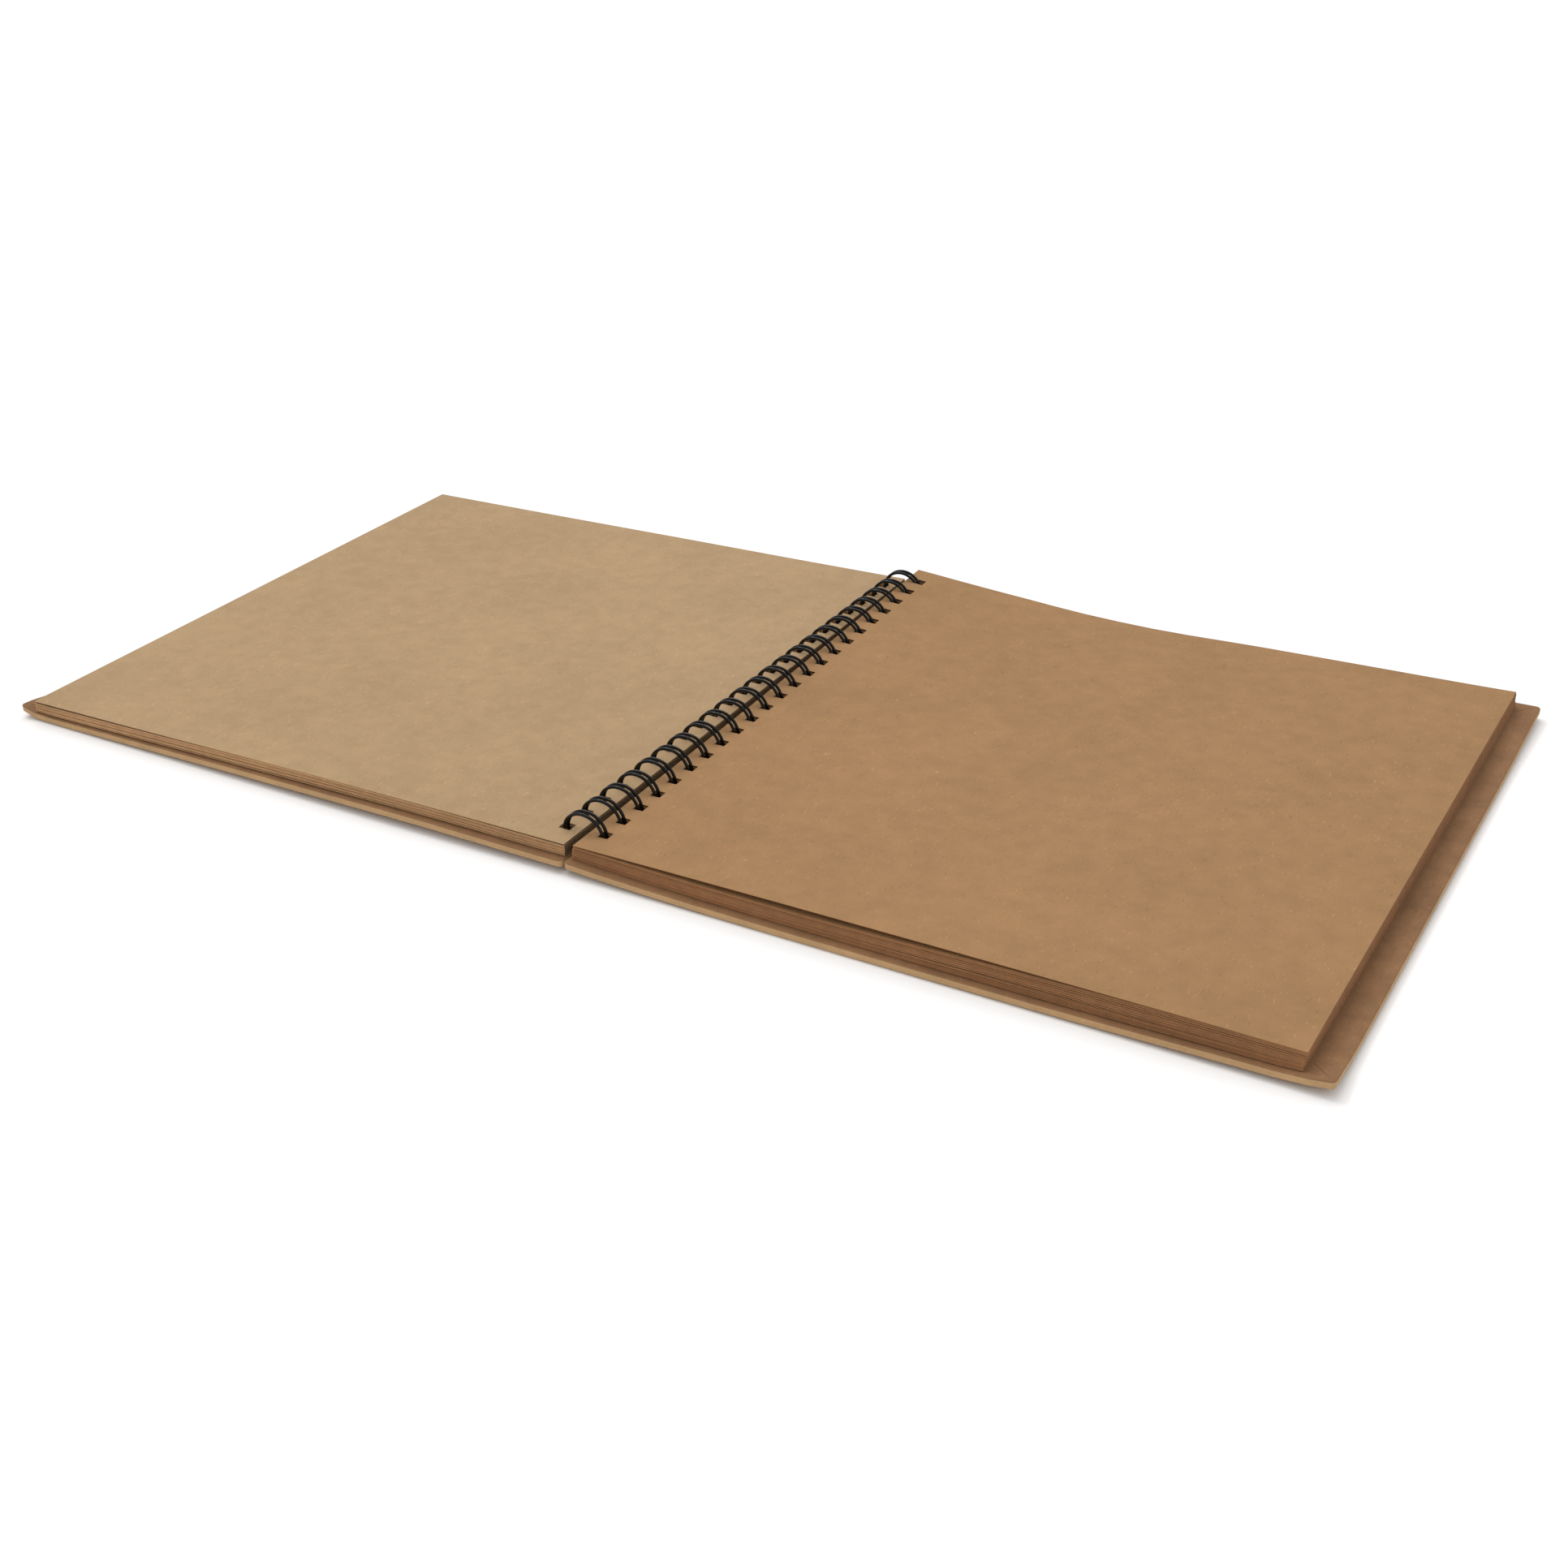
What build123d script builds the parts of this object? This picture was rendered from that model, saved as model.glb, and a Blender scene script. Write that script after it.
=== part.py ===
from build123d import *

import math
import os

# Square hardcover sketchbook on a twin-loop wire, lying open with 15 leaves turned
# to the left and 25 still on the right. All sizes are in millimetres.
# X runs from the front cover (left) to the back cover (right), Y runs along the
# binding from tail to head, Z is up. The origin is on the table under the wire.

# Binding wire
PITCH = 12.7             # two loops to the inch
LOOPS = 23
WIRE_D = 1.4
RING_R = 9.5             # centre line of the wire
AXIS_Z = 10.3            # centre of the coil, the axis everything turns about
PAIR = 2.7               # the two strands of a loop, centre to centre
BASE_BEND = 1.3          # bend from a strand into the straight to the next loop
SEAM = 1.9               # arc left open on each side of the lowest point
STUB = 1.5               # cut end of the wire beyond the last bend

# Covers: greyboard in a glued paper wrap, with a paper lining inside
COVER_W = 310.4
COVER_H = 313.0
COVER_X = 0.5            # gutter edge of a cover, measured from the middle
COVER_LIFT = 2.6         # the gutter edge rides above the wire, the fore edge lies down
BOARD_T = 2.8
WRAP_T = 0.2
LINING_T = 0.2
CORNER_R = 2.0
EDGE_R = 0.6
TURN_IN = 16.0
LINING_FORE = 10.0       # turn-in left showing along the fore edge
LINING_SIDE = 4.0        # turn-in left showing at head and tail
LINING_GUTTER = 2.0
MITRE_W = 0.3
MITRE_D = 0.1
MITRE_IN = 3.0           # a mitre seam runs between these distances from both edges
MITRE_OUT = 14.0
COVER_HOLE = (2.4, 9.2)  # across the gutter, from the cover's own edge
COVER_HOLE_H = 5.2

# Leaves
LEAVES = 40
TURNED = 15              # leaves lying on the front cover
LEAF_W = 300.0
LEAF_H = 304.8
LEAF_X = 2.0
LEAF_T = 0.2
LEAF_HOLE = (4.4, 8.9)
LEAF_HOLE_H = 4.8
AIR_GUTTER = 0.01        # air between leaves at the wire
AIR_TURNED = 0.1         # the same at the fore edge, front cover side
AIR_REST = 0.1           # and back cover side
TOP_GUTTER = 0.1         # the uppermost right leaf stands a little apart
TOP_FORE = 0.5

INNER_T = WRAP_T + BOARD_T + WRAP_T
COVER_T = INNER_T + LINING_T


def ring_point(angle, y, ahead=0.0):
    """Point on a strand; ahead moves it along the tangent at that angle."""
    a = math.radians(angle)
    x = RING_R * math.cos(a) - ahead * math.sin(a)
    z = AXIS_Z + RING_R * math.sin(a) + ahead * math.cos(a)
    return Vector(x, y, z)


def loop_y(k):
    return (k - (LOOPS - 1) / 2) * PITCH


def bend(y_strand, y_base, angle):
    """Quarter turn between a strand and the straight at its base."""
    side = 1 if y_base > y_strand else -1
    back = BASE_BEND * (1 - math.sqrt(0.5))
    middle = ring_point(angle, y_strand + side * back, -BASE_BEND * math.sqrt(0.5))
    return middle, ring_point(angle, y_base, -BASE_BEND)


def binding_wire():
    opening = math.degrees(SEAM / RING_R)
    base = opening - 90
    tip = 270 - opening
    half = PAIR / 2
    edges = []
    for k in range(LOOPS):
        y_in = loop_y(k) - half
        y_out = loop_y(k) + half
        middle, corner = bend(y_in, y_in - BASE_BEND, base)
        if k == 0:
            edges.append(Line(corner - Vector(0, STUB, 0), corner))
        edges.append(ThreePointArc(corner, middle, ring_point(base, y_in)))
        edges.append(ThreePointArc(
            ring_point(base, y_in), ring_point(90, y_in), ring_point(tip, y_in)))
        edges.append(ThreePointArc(
            ring_point(tip, y_in), ring_point(tip, loop_y(k), half), ring_point(tip, y_out)))
        edges.append(ThreePointArc(
            ring_point(tip, y_out), ring_point(90, y_out), ring_point(base, y_out)))
        middle, corner = bend(y_out, y_out + BASE_BEND, base)
        edges.append(ThreePointArc(ring_point(base, y_out), middle, corner))
        length = STUB if k == LOOPS - 1 else PITCH - PAIR - 2 * BASE_BEND
        edges.append(Line(corner, corner + Vector(0, length, 0)))
    path = Wire([edge.edge() for edge in edges])
    section = Plane(origin=path @ 0, z_dir=path % 0) * Circle(WIRE_D / 2)
    return sweep(section, path=path)


def slab(x0, x1, half_h, z0, z1):
    """Plain plate, centred across the binding."""
    size = ((x1 - x0), 2 * half_h, (z1 - z0))
    return Pos((x0 + x1) / 2, 0, (z0 + z1) / 2) * Box(*size)


def soft_block(inset, z0, z1):
    """Cover outline drawn in by inset, with rounded corners and soft edges."""
    outline = RectangleRounded(
        COVER_W - 2 * inset, COVER_H - 2 * inset, CORNER_R - inset)
    block = Pos(COVER_W / 2, 0, z0) * extrude(outline, z1 - z0)
    rims = block.edges().filter_by(Axis.Z, reverse=True)
    return fillet(rims, EDGE_R - inset)


def punch(part, hole, height):
    """Row of square holes for the wire."""
    middle = (hole[0] + hole[1]) / 2
    cutter = Box(hole[1] - hole[0], height, 4 * COVER_T)
    return part - [Pos(middle, loop_y(k), 0) * cutter for k in range(LOOPS)]


def mitres():
    """Seams where the turned-in paper is folded over at the four corners."""
    run = (MITRE_OUT - MITRE_IN) * math.sqrt(2)
    away = (MITRE_OUT + MITRE_IN) / 2
    seams = []
    for x, turn in ((away, 45), (COVER_W - away, -45)):
        for side in (-1, 1):
            y = side * (COVER_H / 2 - away)
            groove = Rot(0, 0, -side * turn) * Box(run, MITRE_W, 2 * MITRE_D)
            seams.append(Pos(x, y, INNER_T) * groove)
    return seams


def cover_parts():
    """Board, wrap and lining of the right-hand cover, flat, gutter edge at x = 0."""
    board = soft_block(WRAP_T, WRAP_T, WRAP_T + BOARD_T)
    window_h = COVER_H / 2 - TURN_IN
    window = slab(TURN_IN, COVER_W - TURN_IN, window_h, WRAP_T + BOARD_T, INNER_T)
    wrap = soft_block(0, 0, INNER_T) - board - window - mitres()
    lining = window + slab(
        LINING_GUTTER, COVER_W - LINING_FORE, COVER_H / 2 - LINING_SIDE, INNER_T, COVER_T)
    pieces = {"board": board, "wrap": wrap, "lining": lining}
    return {name: punch(p, COVER_HOLE, COVER_HOLE_H) for name, p in pieces.items()}


def lay(part, x, z_gutter, z_fore, width):
    """Set a flat piece down on the right, sloping from the gutter to the fore edge."""
    slope = math.degrees(math.asin((z_gutter - z_fore) / width))
    return Pos(x, 0, z_gutter) * Rot(0, slope, 0) * part


def lining_top(x):
    """Height of the inside of a cover at a distance from the middle."""
    return COVER_T + COVER_LIFT * (1 - (x - COVER_X) / COVER_W)


def leaf_heights(level, air_fore):
    """Underside of a leaf with so many leaves beneath it, at the gutter and fore edge."""
    z_gutter = lining_top(LEAF_X) + AIR_GUTTER + level * (LEAF_T + AIR_GUTTER)
    z_fore = lining_top(LEAF_X + LEAF_W) + AIR_GUTTER + level * (LEAF_T + air_fore)
    return z_gutter, z_fore


os.makedirs("parts", exist_ok=True)

export_step(binding_wire(), "parts/binding_wire.step")

for name, piece in cover_parts().items():
    right = lay(piece, COVER_X, COVER_LIFT, 0, COVER_W)
    export_step(right, f"parts/back_{name}.step")
    export_step(mirror(right, about=Plane.YZ), f"parts/front_{name}.step")

sheet = punch(slab(0, LEAF_W, LEAF_H / 2, 0, LEAF_T), LEAF_HOLE, LEAF_HOLE_H)
for n in range(LEAVES):
    turned = n < TURNED
    level = n if turned else LEAVES - 1 - n
    z_gutter, z_fore = leaf_heights(level, AIR_TURNED if turned else AIR_REST)
    if n == TURNED:
        z_gutter += TOP_GUTTER
        z_fore += TOP_FORE
    leaf = lay(sheet, LEAF_X, z_gutter, z_fore, LEAF_W)
    if turned:
        leaf = mirror(leaf, about=Plane.YZ)
    export_step(leaf, f"parts/leaf_{n + 1:02d}.step")
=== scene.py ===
import bmesh
import bpy
import math
import numpy as np
from mathutils import Matrix, Vector


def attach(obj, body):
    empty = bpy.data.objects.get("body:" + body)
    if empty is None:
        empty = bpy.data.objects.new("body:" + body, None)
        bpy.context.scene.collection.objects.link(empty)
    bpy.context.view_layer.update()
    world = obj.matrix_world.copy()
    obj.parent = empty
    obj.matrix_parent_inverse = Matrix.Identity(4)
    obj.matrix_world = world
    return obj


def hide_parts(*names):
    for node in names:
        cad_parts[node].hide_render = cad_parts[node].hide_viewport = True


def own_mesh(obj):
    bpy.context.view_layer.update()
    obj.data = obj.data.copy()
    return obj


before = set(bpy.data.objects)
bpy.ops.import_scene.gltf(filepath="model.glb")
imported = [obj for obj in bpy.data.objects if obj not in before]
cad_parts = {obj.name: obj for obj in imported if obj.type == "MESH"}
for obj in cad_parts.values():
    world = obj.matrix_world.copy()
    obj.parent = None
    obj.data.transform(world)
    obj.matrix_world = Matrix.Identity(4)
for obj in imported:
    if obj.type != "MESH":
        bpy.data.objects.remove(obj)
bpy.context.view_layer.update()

MM = 0.001

# Binding, as in the frame: twin loops about the axis that everything turns on
PITCH = 12.7
LOOPS = 23
WIRE_R = 0.7
RING_R = 9.5           # half width of a loop
RING_X = 0.4           # the weight of the right side pulls the coil over a little
RING_H = 9.2           # half height, a little squashed
AXIS_Z = 10.3
PAIR = 2.7
BASE_BEND = 1.3
SEAM = 1.9
STUB = 1.5
WIRE_SIDES = 14
MIN_STEP = 0.05        # points of the wire's path closer than this are one point

# Covers, lying flat in the frame with a constant slope from the gutter
COVER_W = 310.4
COVER_X = 0.5
COVER_LIFT = 2.6
COVER_T = 3.4
INSIDE_FROM = 2.8      # above this the wrap is its turned-in side, painted darker brown as the shade round the leaves

# Leaves
LEAVES = 40
TURNED = 15
LEAF_X = 2.0
LEAF_END = 302.0
LEAF_HALF_H = 152.4
SHEET = 0.26
LIFT = 0.05            # air between a cover and its lowest leaf
HUMP = 1.7             # above 1, the hump at the head fades out sooner towards the tail

# Holes, from and to across the gutter: the leaf on view, and those under it, worn wider by the wire
HOLES_LEFT = {"on view": (6.0, 11.6), "under": (4.2, 11.9)}
HOLES_RIGHT = {"on view": (6.8, 11.6), "under": (5.2, 11.9)}
HOLE_H = 4.8
GRID_X = (4.2, 14, 19, 26, 36, 48, 62, 78, 95, 112, 130, 148, 166, 184, 202, 222, 244, 264, 282, 294)

# How the leaves lie: how far out from the wire, and how wide they are seen from above, a wavy
# sheet being narrower than a flat one
LAY_LEFT = (0.9, 1.0015)
LAY_RIGHT = (1.1, 0.9895)
LOOSE = (0.12, 0.14)   # how far single leaves stray from that, along x and y
SKEW_LEFT = 0.009      # the turned leaves lie a little askew on their cover
SKEW_LOWEST = 0.005    # and so does the lowest leaf on the right
SPREAD = 0.003         # the gutter edge of the turned leaves opens towards the head

rng = np.random.default_rng(7)


def loop_y(k):
    return (k - (LOOPS - 1) / 2) * PITCH


def ease(t):
    t = np.clip(t, 0, 1)
    return t * t * (3 - 2 * t)


def curve(points):
    """Smooth curve through (distance from the middle, height) points."""
    xs = np.array([p[0] for p in points], float)
    zs = np.array([p[1] for p in points], float)
    fine = np.linspace(xs[0], xs[-1], 241)
    z = np.interp(fine, xs, zs)
    kernel = np.hanning(15)
    z = np.convolve(np.pad(z, 7, mode="reflect", reflect_type="odd"), kernel / kernel.sum(), "valid")
    return lambda x: np.interp(x, fine, z)


# Underside of each cover at mid height, as (distance from the middle, height)
UNDER_BACK = curve([(0, 2.5), (8, 2.1), (19, 1.5), (38, 0.95), (61, 0.4), (97, 0.05), (132, 0.05),
                    (175, 0.2), (242, 0.4), (311, 0.6)])
UNDER_FRONT = curve([(0, 2.5), (28, 2.5), (53, 2.8), (96, 2.7), (142, 2.2), (189, 1.7), (219, 1.2),
                     (250, 0.7), (276, 0.35), (300, 0.1), (311, 0.2)])

# How the corners curl up: height, then start and run along x and along y
CURLS_BACK = [(1.2, (200, 100), (-110, -50)), (1.7, (296, 15), (-140, -17)), (1.8, (190, 125), (80, 80))]
CURLS_FRONT = [(2.6, (299, 12), (-130, -26)), (0.5, (250, 60), (100, 60))]


def cover_under(x, y, back):
    """Underside of a cover at a distance from the middle."""
    height = UNDER_BACK(x) if back else UNDER_FRONT(x)
    for curl, (x_from, x_run), (y_from, y_run) in CURLS_BACK if back else CURLS_FRONT:
        height = height + curl * ease((x - x_from) / x_run) * ease((y - y_from) / y_run)
    return height


def cover_inside(x, y, back):
    """Lining of a cover."""
    return cover_under(x, y, back) + COVER_T


# Top of the left leaves, of the right block and of the leaf above it, at the tail and at the head
LEFT_NEAR = curve([(2, 11.3), (30, 11.3), (60, 11.3), (100, 11.2), (126, 11.1), (155, 10.8), (200, 10.2),
                   (250, 9.6), (302, 9.1)])
LEFT_FAR = curve([(2, 10.2), (40, 9.9), (70, 9.7), (100, 9.6), (131, 9.5), (163, 9.3), (195, 9.1),
                  (229, 8.9), (263, 8.8), (302, 8.7)])
BLOCK_NEAR = curve([(2, 11.2), (20, 10.9), (40, 10.5), (70, 10.0), (112, 10.0), (145, 10.5), (179, 11.4),
                    (215, 12.1), (240, 12.4), (270, 12.5), (302, 12.3)])
BLOCK_FAR = curve([(2, 15.2), (11, 14.7), (20, 14.0), (34, 13.0), (47, 12.0), (61, 11.1), (80, 9.9),
                   (100, 9.0), (134, 8.5), (150, 8.7), (182, 9.8), (201, 10.2), (239, 10.9), (276, 11.5),
                   (302, 12.0)])
TOP_NEAR = curve([(2, 11.8), (40, 12.2), (98, 12.6), (150, 12.8), (180, 12.9), (263, 12.9), (302, 12.6)])
TOP_FAR = curve([(2, 16.6), (11, 16.0), (20, 15.2), (34, 14.1), (47, 13.1), (61, 12.2), (78, 10.9),
                 (100, 9.6), (121, 9.1), (134, 9.0), (150, 9.3), (162, 9.7), (182, 10.3), (201, 10.6),
                 (239, 11.2), (276, 11.7), (302, 12.3)])


def across(near, far, x, y, power=1.0):
    """Height between the profiles at the tail and at the head."""
    t = np.clip((y + LEAF_HALF_H) / (2 * LEAF_HALF_H), 0, 1) ** power
    return near(x) * (1 - t) + far(x) * t


def left_top(x, y):
    return across(LEFT_NEAR, LEFT_FAR, x, y)


def block_top(x, y):
    return across(BLOCK_NEAR, BLOCK_FAR, x, y, HUMP)


def top_leaf(x, y):
    return across(TOP_NEAR, TOP_FAR, x, y, HUMP)


# ---------------------------------------------------------------- materials

def linear(rgb):
    """Colour levels (0 to 255) as the linear values that shaders take."""
    out = []
    for c in rgb:
        c /= 255
        out.append(c / 12.92 if c <= 0.04045 else ((c + 0.055) / 1.055) ** 2.4)
    return tuple(out)


MIX_COLOUR_INPUTS = (0, 6, 7)    # sockets of a Mix node that is set to colour
MIX_COLOUR_OUTPUT = 2


class Nodes:
    """Small helper around a node tree."""

    def __init__(self, name):
        self.material = bpy.data.materials.new(name)
        self.material.use_nodes = True
        self.tree = self.material.node_tree
        self.shader = self.tree.nodes["Principled BSDF"]

    def add(self, kind, **inputs):
        node = self.tree.nodes.new(kind)
        for key, value in inputs.items():
            node.inputs[key.replace("_", " ")].default_value = value
        return node

    def link(self, a, b):
        self.tree.links.new(a, b)

    def coords(self, scale=(1, 1, 1), turn=(0, 0, 0)):
        source = self.add("ShaderNodeTexCoord")
        mapping = self.add("ShaderNodeMapping")
        mapping.inputs["Scale"].default_value = scale
        mapping.inputs["Rotation"].default_value = turn
        self.link(source.outputs["Object"], mapping.inputs["Vector"])
        return mapping.outputs["Vector"]

    def noise(self, vector, scale, detail=3.0, rough=0.55, distort=0.0):
        node = self.add("ShaderNodeTexNoise", Scale=scale, Detail=detail, Roughness=rough,
                        Distortion=distort)
        self.link(vector, node.inputs["Vector"])
        return node.outputs["Fac"]

    def ramp(self, value, stops):
        node = self.add("ShaderNodeValToRGB")
        elements = node.color_ramp.elements
        while len(elements) < len(stops):
            elements.new(0.5)
        for element, (place, grey) in zip(elements, stops):
            element.position = place
            element.color = (grey, grey, grey, 1)
        self.link(value, node.inputs["Fac"])
        return node.outputs["Color"]

    def multiply(self, colour, by):
        """Colour (a plain one or a socket) times the grey of another socket."""
        node = self.add("ShaderNodeMix")
        node.data_type = "RGBA"
        node.blend_type = "MULTIPLY"
        factor, a, b = (node.inputs[i] for i in MIX_COLOUR_INPUTS)
        factor.default_value = 1.0
        if isinstance(colour, tuple):
            a.default_value = (*colour, 1)
        else:
            self.link(colour, a)
        self.link(by, b)
        return node.outputs[MIX_COLOUR_OUTPUT]

    def bump(self, height, strength, distance):
        node = self.add("ShaderNodeBump", Strength=strength, Distance=distance)
        self.link(height, node.inputs["Height"])
        self.link(node.outputs["Normal"], self.shader.inputs["Normal"])


FLECK = 0.30           # how much lighter than the sheet the light fibres of kraft paper are


def kraft(name, tone, cloud=0.06, dark=0.20, size=1.0):
    """Uncoated kraft paper: soft clouds, long fibres lighter and darker than the sheet."""
    n = Nodes(name)
    here = n.coords()
    clouds = n.ramp(n.noise(here, 105 * size, 4.0, 0.6), [(0.3, 1 - cloud), (0.7, 1 + cloud)])
    wide = n.ramp(n.noise(here, 16, 2.0), [(0.3, 1 - cloud * 0.7), (0.7, 1 + cloud * 0.7)])
    colour = n.multiply(linear(tone), clouds)
    colour = n.multiply(colour, wide)
    for turn, seed in ((0.5, 0.0), (-0.9, 3.7)):
        fibres = n.coords((1.0, 0.28, 1.0), (0, 0, turn))
        shift = n.add("ShaderNodeVectorMath")
        shift.operation = "ADD"
        shift.inputs[1].default_value = (seed, seed * 0.7, 0)
        n.link(fibres, shift.inputs[0])
        strands = n.noise(shift.outputs[0], 1100 * size, 2.0, 0.5, 0.4)
        colour = n.multiply(colour, n.ramp(strands, [(0.24, 1 - dark), (0.34, 1.0)]))
        colour = n.multiply(colour, n.ramp(strands, [(0.66, 1.0), (0.76, 1 + FLECK)]))
    n.link(colour, n.shader.inputs["Base Color"])
    n.shader.inputs["Roughness"].default_value = 0.85
    n.shader.inputs["Specular IOR Level"].default_value = 0.25
    n.bump(n.noise(here, 2600, 3.0, 0.6), 0.25, 0.00012)
    return n.material


def greyboard(name):
    n = Nodes(name)
    here = n.coords()
    layers = n.noise(n.coords((1, 1, 9)), 260, 4.0, 0.7)
    colour = n.multiply(linear((150, 132, 108)), n.ramp(layers, [(0.3, 0.78), (0.7, 1.15)]))
    n.link(colour, n.shader.inputs["Base Color"])
    n.shader.inputs["Roughness"].default_value = 0.95
    n.bump(n.noise(here, 1800, 3.0, 0.7), 0.5, 0.0002)
    return n.material


def black_wire(name):
    n = Nodes(name)
    here = n.coords()
    worn = n.ramp(n.noise(here, 900, 3.0), [(0.35, 0.002), (0.7, 0.005)])
    n.link(worn, n.shader.inputs["Base Color"])
    gloss = n.ramp(n.noise(here, 500, 2.0), [(0.3, 0.14), (0.7, 0.22)])
    n.link(gloss, n.shader.inputs["Roughness"])
    n.shader.inputs["Specular IOR Level"].default_value = 0.2
    n.bump(n.noise(here, 700, 2.0), 0.08, 0.0002)
    return n.material


MAT = {
    # the two sides of the leaves: the side up on the left is lighter and yellower than the side up on
    # the right, partly the kraft's own two tones, partly painted light falling more on the left pages
    "left_page": kraft("kraft_left_page", (166, 138, 103)),
    "right_page": kraft("kraft_right_page", (153, 117, 79), cloud=0.07),
    # one paper's cut edges in two tones: lighter on the turned leaves, darker on the right block,
    # painted light and shade
    "left_cut_lit": kraft("kraft_left_edge_lit", (190, 146, 104), cloud=0.10, size=2.0),
    "right_cut_shaded": kraft("kraft_right_edge_shaded", (152, 106, 71), cloud=0.10, size=2.0),
    # the leaves' edge at the gutter: the same kraft painted dark brown, a painted shade for the little
    # light between the leaves
    "gutter_painted_shade": kraft("kraft_gutter_edge_painted_shade", (92, 66, 42), cloud=0.10, size=2.0),
    "wrap": kraft("kraft_wrap", (182, 147, 106), cloud=0.07),
    # the turned-in wrap and the lining: kraft in the darker brown of the margin round the leaves, a
    # painted shade; the stronger mottling is the paper's own
    "inside": kraft("kraft_wrap_inside", (134, 99, 68), cloud=0.13, dark=0.25),
    "lining": kraft("kraft_lining", (138, 102, 70)),
    "board": greyboard("greyboard_core"),
    "wire": black_wire("wire_enamel"),
}


# ---------------------------------------------------------------- meshes

def finish_piece(name, verts, faces, materials, index, body, node, slot, angle=35):
    mesh = bpy.data.meshes.new(name)
    mesh.from_pydata(verts, [], faces)
    for material in materials:
        mesh.materials.append(material)
    if index is not None:
        mesh.polygons.foreach_set("material_index", index)
    mesh.polygons.foreach_set("use_smooth", [True] * len(mesh.polygons))
    mesh.update()
    mesh.set_sharp_from_angle(angle=math.radians(angle))
    return place(name, mesh, body, node, slot)


def place(name, mesh, body, node, slot):
    piece = bpy.data.objects.new(name, mesh)
    bpy.context.scene.collection.objects.link(piece)
    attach(piece, body)
    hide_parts(node)
    return piece


# Material of each part of a leaf: upper side, underside, cut edges, edge at the gutter (a painted shade)
FACE, VERSO, CUT, GUTTER_SHADE = range(4)


def plate(xs, ys, holes, top, thick, side, shift, skew):
    """Closed sheet over a grid. Holes are (x cell, y cell) pairs, side mirrors it, and shift is
    how far it lies out, how far along, and its width."""
    nx, ny = len(xs), len(ys)
    gx, gy = np.meshgrid(xs, ys, indexing="ij")
    upper = top(gx, gy)
    out, along, width = shift
    px = side * (LEAF_X + (gx - LEAF_X) * width + out + skew * gy)
    if side < 0:
        hole_from = HOLES_LEFT["under"][0]
        px -= SPREAD * gy * np.clip((hole_from - gx) / (hole_from - LEAF_X), 0, 1)
    py = gy + along - skew * gx
    levels = [np.stack([px, py, z], -1).reshape(-1, 3) for z in (upper, upper - thick)]
    verts = np.concatenate(levels) * MM
    count = nx * ny
    solid = np.ones((nx - 1, ny - 1), bool)
    for i, j in holes:
        solid[i, j] = False
    faces = []
    index = []

    def quad(a, b, c, d, kind):
        faces.append((a, b, c, d) if side > 0 else (d, c, b, a))
        index.append(kind)

    def filled(i, j):
        return 0 <= i < nx - 1 and 0 <= j < ny - 1 and solid[i, j]

    for i in range(nx - 1):
        for j in range(ny - 1):
            if not solid[i, j]:
                continue
            a, b = i * ny + j, (i + 1) * ny + j
            c, d = b + 1, a + 1
            quad(a, b, c, d, FACE)
            quad(a + count, d + count, c + count, b + count, VERSO)
            if not filled(i, j - 1):
                quad(a, a + count, b + count, b, CUT)
            if not filled(i + 1, j):
                quad(b, b + count, c + count, c, CUT)
            if not filled(i, j + 1):
                quad(c, c + count, d + count, d, CUT)
            if not filled(i - 1, j):
                # the edge at the gutter gets the painted shade
                quad(d, d + count, a + count, a, GUTTER_SHADE if i == 0 else CUT)
    used = sorted({v for face in faces for v in face})
    new = {v: n for n, v in enumerate(used)}
    return verts[used].tolist(), [tuple(new[v] for v in face) for face in faces], index


def leaf_grid(hole):
    """Grid lines of a leaf, and its cells that are holes."""
    xs = sorted({LEAF_X, *GRID_X, *hole, LEAF_END})
    ys = [-LEAF_HALF_H, LEAF_HALF_H]
    for k in range(LOOPS):
        ys += [loop_y(k) - HOLE_H / 2, loop_y(k) + HOLE_H / 2]
    holes = [(xs.index(hole[0]), 2 * k + 1) for k in range(LOOPS)]
    return np.array(xs), np.array(sorted(ys)), holes


def stack(count, bottom, top):
    """Heights of the tops of loosely lying leaves, from the lowest up."""
    phases = rng.uniform(0, 2 * math.pi, count)
    waves = rng.uniform(0.008, 0.022, count)
    weight = rng.gamma(0.55, 1.0, count)

    def level(n):
        def height(x, y):
            low, high = bottom(x, y), top(x, y)
            gaps = [0.12 + weight[i] * (1 + 0.9 * np.sin(waves[i] * x + phases[i] + 0.004 * y))
                    for i in range(count)]
            total = sum(gaps)
            part = sum(gaps[:n + 1]) / total
            return low + (n + 1) * SHEET + part * (high - low - count * SHEET)
        return height
    return [level(n) for n in range(count)]


# Materials of a leaf, in the order of plate's parts
LEFT_KINDS = ("left_page", "right_page", "left_cut_lit", "gutter_painted_shade")
RIGHT_KINDS = ("right_page", "left_page", "right_cut_shaded", "gutter_painted_shade")


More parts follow.
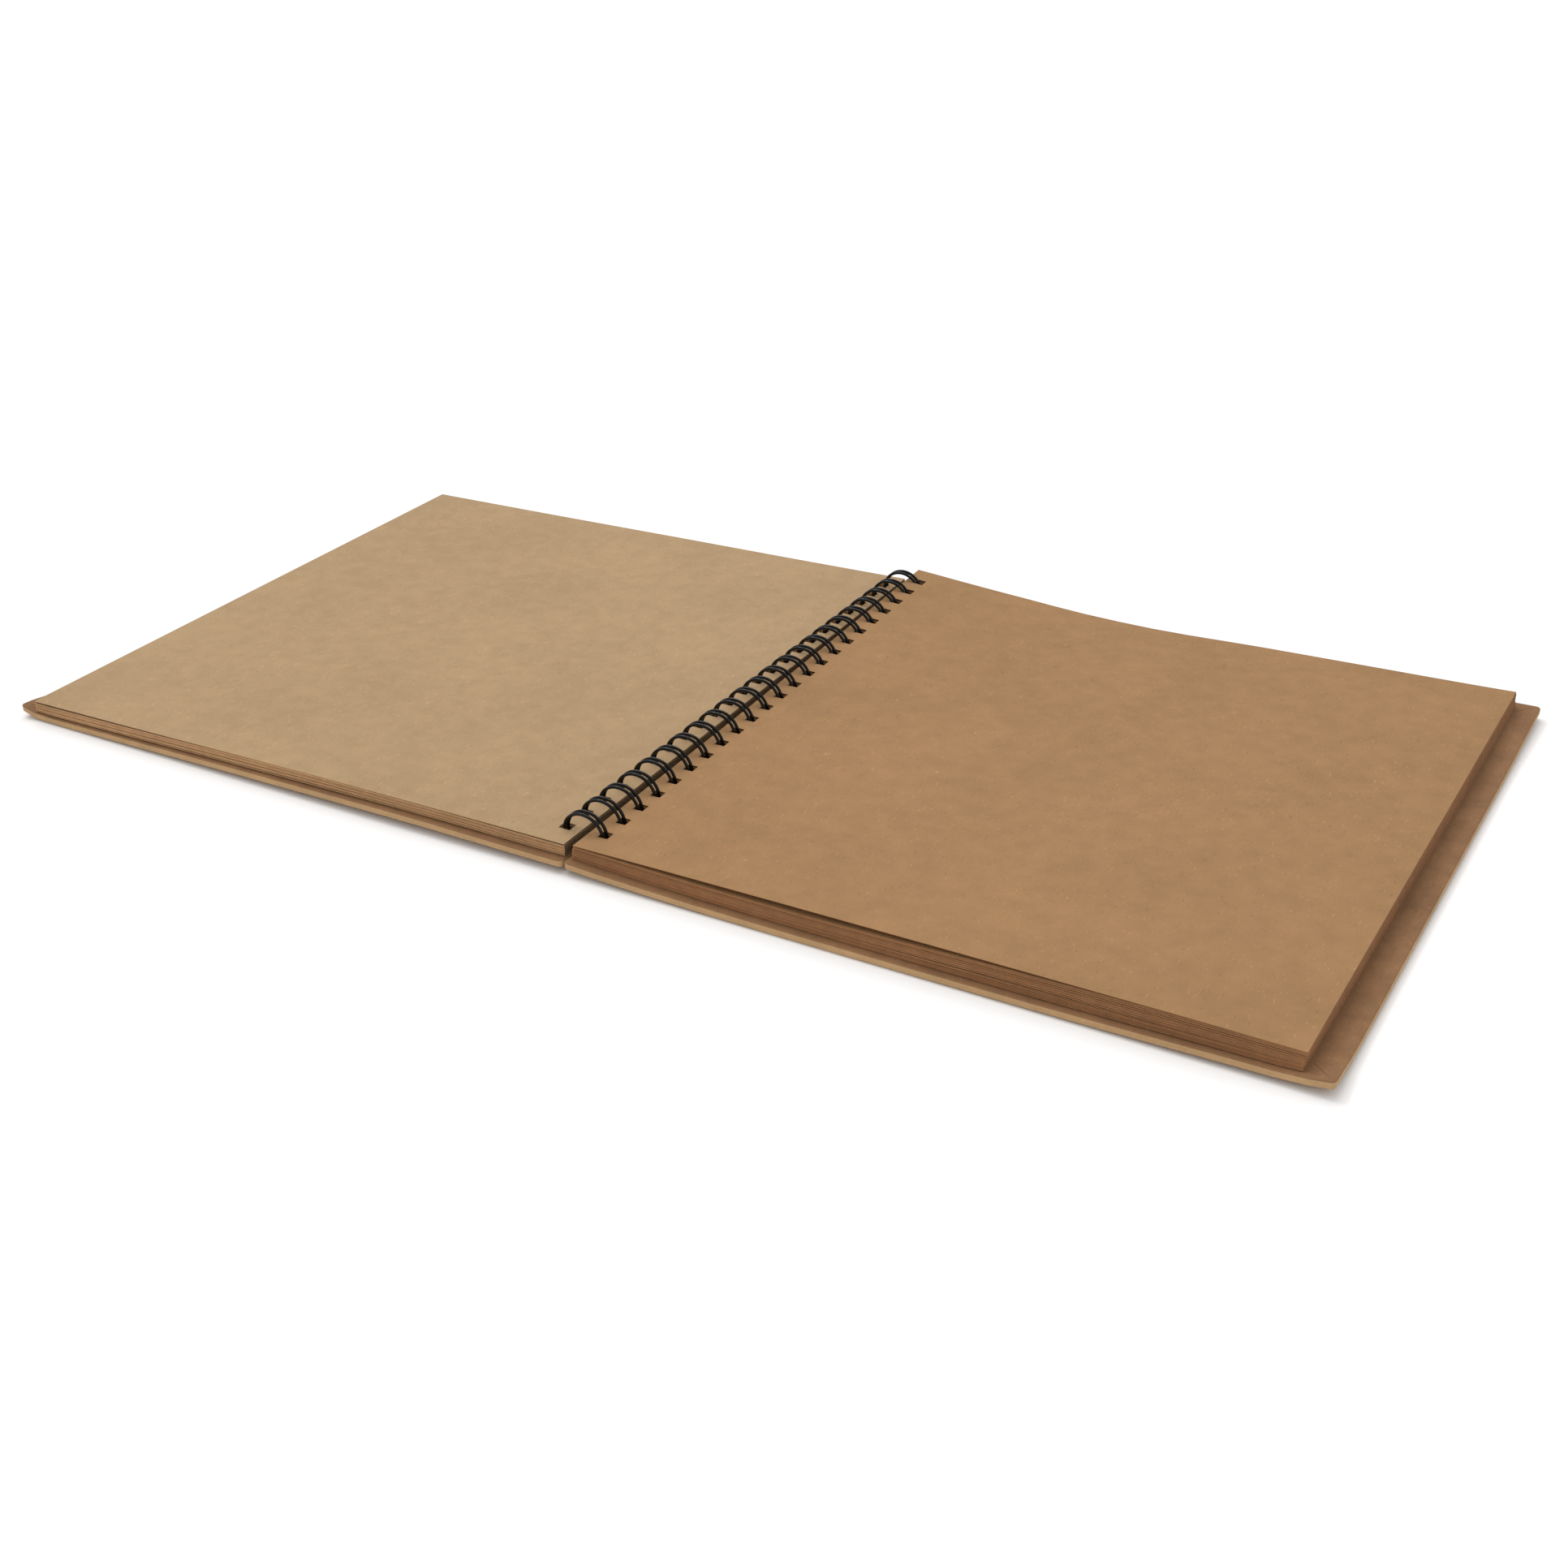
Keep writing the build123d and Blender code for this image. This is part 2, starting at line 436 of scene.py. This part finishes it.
def build_leaves():
    left = stack(TURNED, lambda x, y: cover_inside(x, y, False) + LIFT, left_top)
    right = stack(LEAVES - TURNED - 1, lambda x, y: cover_inside(x, y, True) + LIFT, block_top)
    for n in range(LEAVES):
        turned = n < TURNED
        if turned:
            height, body = left[n], "left_leaves"
        elif n == TURNED:
            height, body = top_leaf, "top_leaf"
        else:
            height, body = right[LEAVES - 1 - n], "right_leaves"
        if turned:
            side, kinds, wide, lay = -1, LEFT_KINDS, HOLES_LEFT, LAY_LEFT
            skew = SKEW_LEFT
        else:
            side, kinds, wide, lay = 1, RIGHT_KINDS, HOLES_RIGHT, LAY_RIGHT
            skew = SKEW_LOWEST * (n - TURNED) / (LEAVES - TURNED)
        shift = (lay[0] + rng.normal(0, LOOSE[0]), rng.normal(0, LOOSE[1]), lay[1])
        on_view = n in (TURNED - 1, TURNED)
        xs, ys, holes = leaf_grid(wide["on view" if on_view else "under"])
        verts, faces, index = plate(xs, ys, holes, height, SHEET, side, shift, skew)
        piece = finish_piece(f"page_{n + 1:02d}", verts, faces, [MAT[kind] for kind in kinds], index,
                             body, f"leaf_{n + 1:02d}", "kraft_leaf")
        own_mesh(piece)


# Lines along which a cover is cut so that it can bend
BEND_X = (18, 40, 64, 90, 120, 150, 180, 205, 230, 255, 275, 290, 302)
BEND_Y = (-150, -138, -122, -104, -84, -60, 0, 60, 84, 104, 122, 138, 150)
COVER_SLOTS = {"wrap": "kraft_wrap", "lining": "kraft_lining", "board": "greyboard"}


def cut_lines(bm, axis, places):
    for distance in places:
        at = Vector((0, 0, 0))
        at[axis] = distance * MM
        normal = Vector((0, 0, 0))
        normal[axis] = 1
        geometry = bm.verts[:] + bm.edges[:] + bm.faces[:]
        bmesh.ops.bisect_plane(bm, geom=geometry, dist=1e-7, plane_co=at, plane_no=normal)


def lying_flat(x):
    """Underside of a cover in the frame."""
    return COVER_LIFT * (1 - (x - COVER_X) / COVER_W)


def build_cover(part, back):
    """The frame's own cover part, bent to the way it lies."""
    side = 1 if back else -1
    node = ("back_" if back else "front_") + part
    bm = bmesh.new()
    bm.from_mesh(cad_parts[node].data)
    bmesh.ops.remove_doubles(bm, verts=bm.verts[:], dist=1e-6)
    cut_lines(bm, 0, [side * x for x in BEND_X])
    cut_lines(bm, 1, BEND_Y)
    bm.verts.index_update()
    co = np.array([v.co[:] for v in bm.verts]) / MM
    faces = [tuple(v.index for v in f.verts) for f in bm.faces]
    middles = [f.calc_center_median() / MM for f in bm.faces]
    bm.free()
    x = np.abs(co[:, 0])
    co[:, 2] = np.maximum(co[:, 2] + cover_under(x, co[:, 1], back) - lying_flat(x), 0.0)
    # faces of the wrap above INSIDE_FROM get the darker brown, a painted shade
    shaded_faces = [int(part == "wrap" and m.z - lying_flat(abs(m.x)) > INSIDE_FROM) for m in middles]
    finish_piece(f"bent_{node}", (co * MM).tolist(), faces, [MAT[part], MAT["inside"]], shaded_faces,
                 "back_cover" if back else "front_cover", node, COVER_SLOTS[part], 32)


def wire_path():
    """Centre line of the binding wire: every loop up, over, hairpin and back."""
    opening = SEAM / RING_R
    base = opening - math.pi / 2
    tip = 1.5 * math.pi - opening
    half = PAIR / 2
    points = []

    def at(angle, y, ahead=0.0):
        x = RING_X + RING_R * math.cos(angle) - ahead * math.sin(angle)
        z = AXIS_Z + RING_H * math.sin(angle) + ahead * math.cos(angle)
        points.append((x, y, z))

    for k in range(LOOPS):
        y_in, y_out = loop_y(k) - half, loop_y(k) + half
        if k == 0:
            at(base, y_in - BASE_BEND - STUB, -BASE_BEND)
        for t in np.linspace(0, math.pi / 2, 6):
            at(base, y_in - BASE_BEND * (1 - math.sin(t)), -BASE_BEND * math.cos(t))
        for a in np.linspace(base, tip, 42)[1:]:
            at(a, y_in)
        for t in np.linspace(0, math.pi, 10)[1:]:
            at(tip, loop_y(k) - half * math.cos(t), half * math.sin(t))
        for a in np.linspace(tip, base, 42)[1:]:
            at(a, y_out)
        for t in np.linspace(0, math.pi / 2, 6)[1:]:
            at(base, y_out + BASE_BEND * (1 - math.cos(t)), -BASE_BEND * math.sin(t))
        if k == LOOPS - 1:
            at(base, y_out + BASE_BEND + STUB, -BASE_BEND)
    return np.array(points)


def build_wire():
    sides = WIRE_SIDES
    path = wire_path()
    keep = [0]
    for i in range(1, len(path)):
        if np.linalg.norm(path[i] - path[keep[-1]]) > MIN_STEP:
            keep.append(i)
    path = path[keep]
    tangent = np.gradient(path, axis=0)
    tangent /= np.linalg.norm(tangent, axis=1)[:, None]
    normal = np.array([0.0, 0.0, 1.0])
    angles = np.arange(sides) * 2 * math.pi / sides
    rings = []
    for p, t in zip(path, tangent):
        normal = normal - t * normal.dot(t)
        normal /= np.linalg.norm(normal)
        binormal = np.cross(t, normal)
        spokes = np.cos(angles)[:, None] * normal + np.sin(angles)[:, None] * binormal
        rings.append(p + WIRE_R * spokes)
    verts = np.concatenate(rings) * MM
    faces = []
    for i in range(len(path) - 1):
        for j in range(sides):
            a, b = i * sides + j, i * sides + (j + 1) % sides
            faces.append((a, b, b + sides, a + sides))
    faces.append(tuple(reversed(range(sides))))
    faces.append(tuple(range(len(verts) - sides, len(verts))))
    finish_piece("coil", verts.tolist(), faces, [MAT["wire"]], None, "back_cover", "binding_wire",
                 "wire_black", 60)


for back in (True, False):
    for part in ("board", "wrap", "lining"):
        build_cover(part, back)
build_leaves()
build_wire()

# ---------------------------------------------------------------- stage, light, camera

FLOOR = 20             # half its width, in metres
FLOOR_Z = -1e-4        # just under the book
floor_mesh = bpy.data.meshes.new("floor")
corners = [(x * FLOOR, y * FLOOR, FLOOR_Z) for x, y in ((-1, -1), (1, -1), (1, 1), (-1, 1))]
floor_mesh.from_pydata(corners, [], [(0, 1, 2, 3)])
floor = bpy.data.objects.new("floor", floor_mesh)
bpy.context.scene.collection.objects.link(floor)
paint = Nodes("studio_floor")
paint.shader.inputs["Base Color"].default_value = (0.9, 0.9, 0.9, 1)
paint.shader.inputs["Roughness"].default_value = 1.0
paint.shader.inputs["Specular IOR Level"].default_value = 0.0
floor_mesh.materials.append(paint.material)

world = bpy.data.worlds.new("studio")
world.use_nodes = True
world.node_tree.nodes["Background"].inputs["Color"].default_value = (1, 1, 1, 1)
world.node_tree.nodes["Background"].inputs["Strength"].default_value = 0.8
bpy.context.scene.world = world


def sun(name, azimuth, height, strength, softness):
    data = bpy.data.lights.new(name, "SUN")
    data.energy = strength
    data.angle = math.radians(softness)
    lamp = bpy.data.objects.new(name, data)
    az, el = math.radians(azimuth), math.radians(height)
    source = Vector((math.sin(az) * math.cos(el), math.cos(az) * math.cos(el), math.sin(el)))
    lamp.rotation_euler = source.to_track_quat("Z", "Y").to_euler()
    bpy.context.scene.collection.objects.link(lamp)


sun("key", -50, 60, 1.2, 50)
sun("spark", -75, 52, 0.3, 3)

# Camera, where the book is seen from
CAMERA = (429.063, -697.236, 409.421)
HEADING, TILT, ROLL = (math.radians(a) for a in (-30.984, 28.51, -1.837))
FOCAL_PIXELS = 2460.9
IMAGE = 1932
SENSOR = 36
level = Vector((math.sin(HEADING), math.cos(HEADING), 0))
forward = level * math.cos(TILT) - Vector((0, 0, math.sin(TILT)))
right = forward.cross(Vector((0, 0, 1))).normalized()
up = right.cross(forward)
right_rolled = right * math.cos(ROLL) + up * math.sin(ROLL)
up_rolled = up * math.cos(ROLL) - right * math.sin(ROLL)
lens = bpy.data.cameras.new("camera")
lens.sensor_width = SENSOR
lens.lens = FOCAL_PIXELS / IMAGE * SENSOR
lens.clip_start = 0.01
camera = bpy.data.objects.new("camera", lens)
rotation = Matrix((right_rolled, up_rolled, -forward)).transposed()
camera.matrix_world = Matrix.Translation(Vector(CAMERA) * MM) @ rotation.to_4x4()
bpy.context.scene.collection.objects.link(camera)
bpy.context.scene.camera = camera
bpy.context.scene.view_settings.view_transform = "Standard"
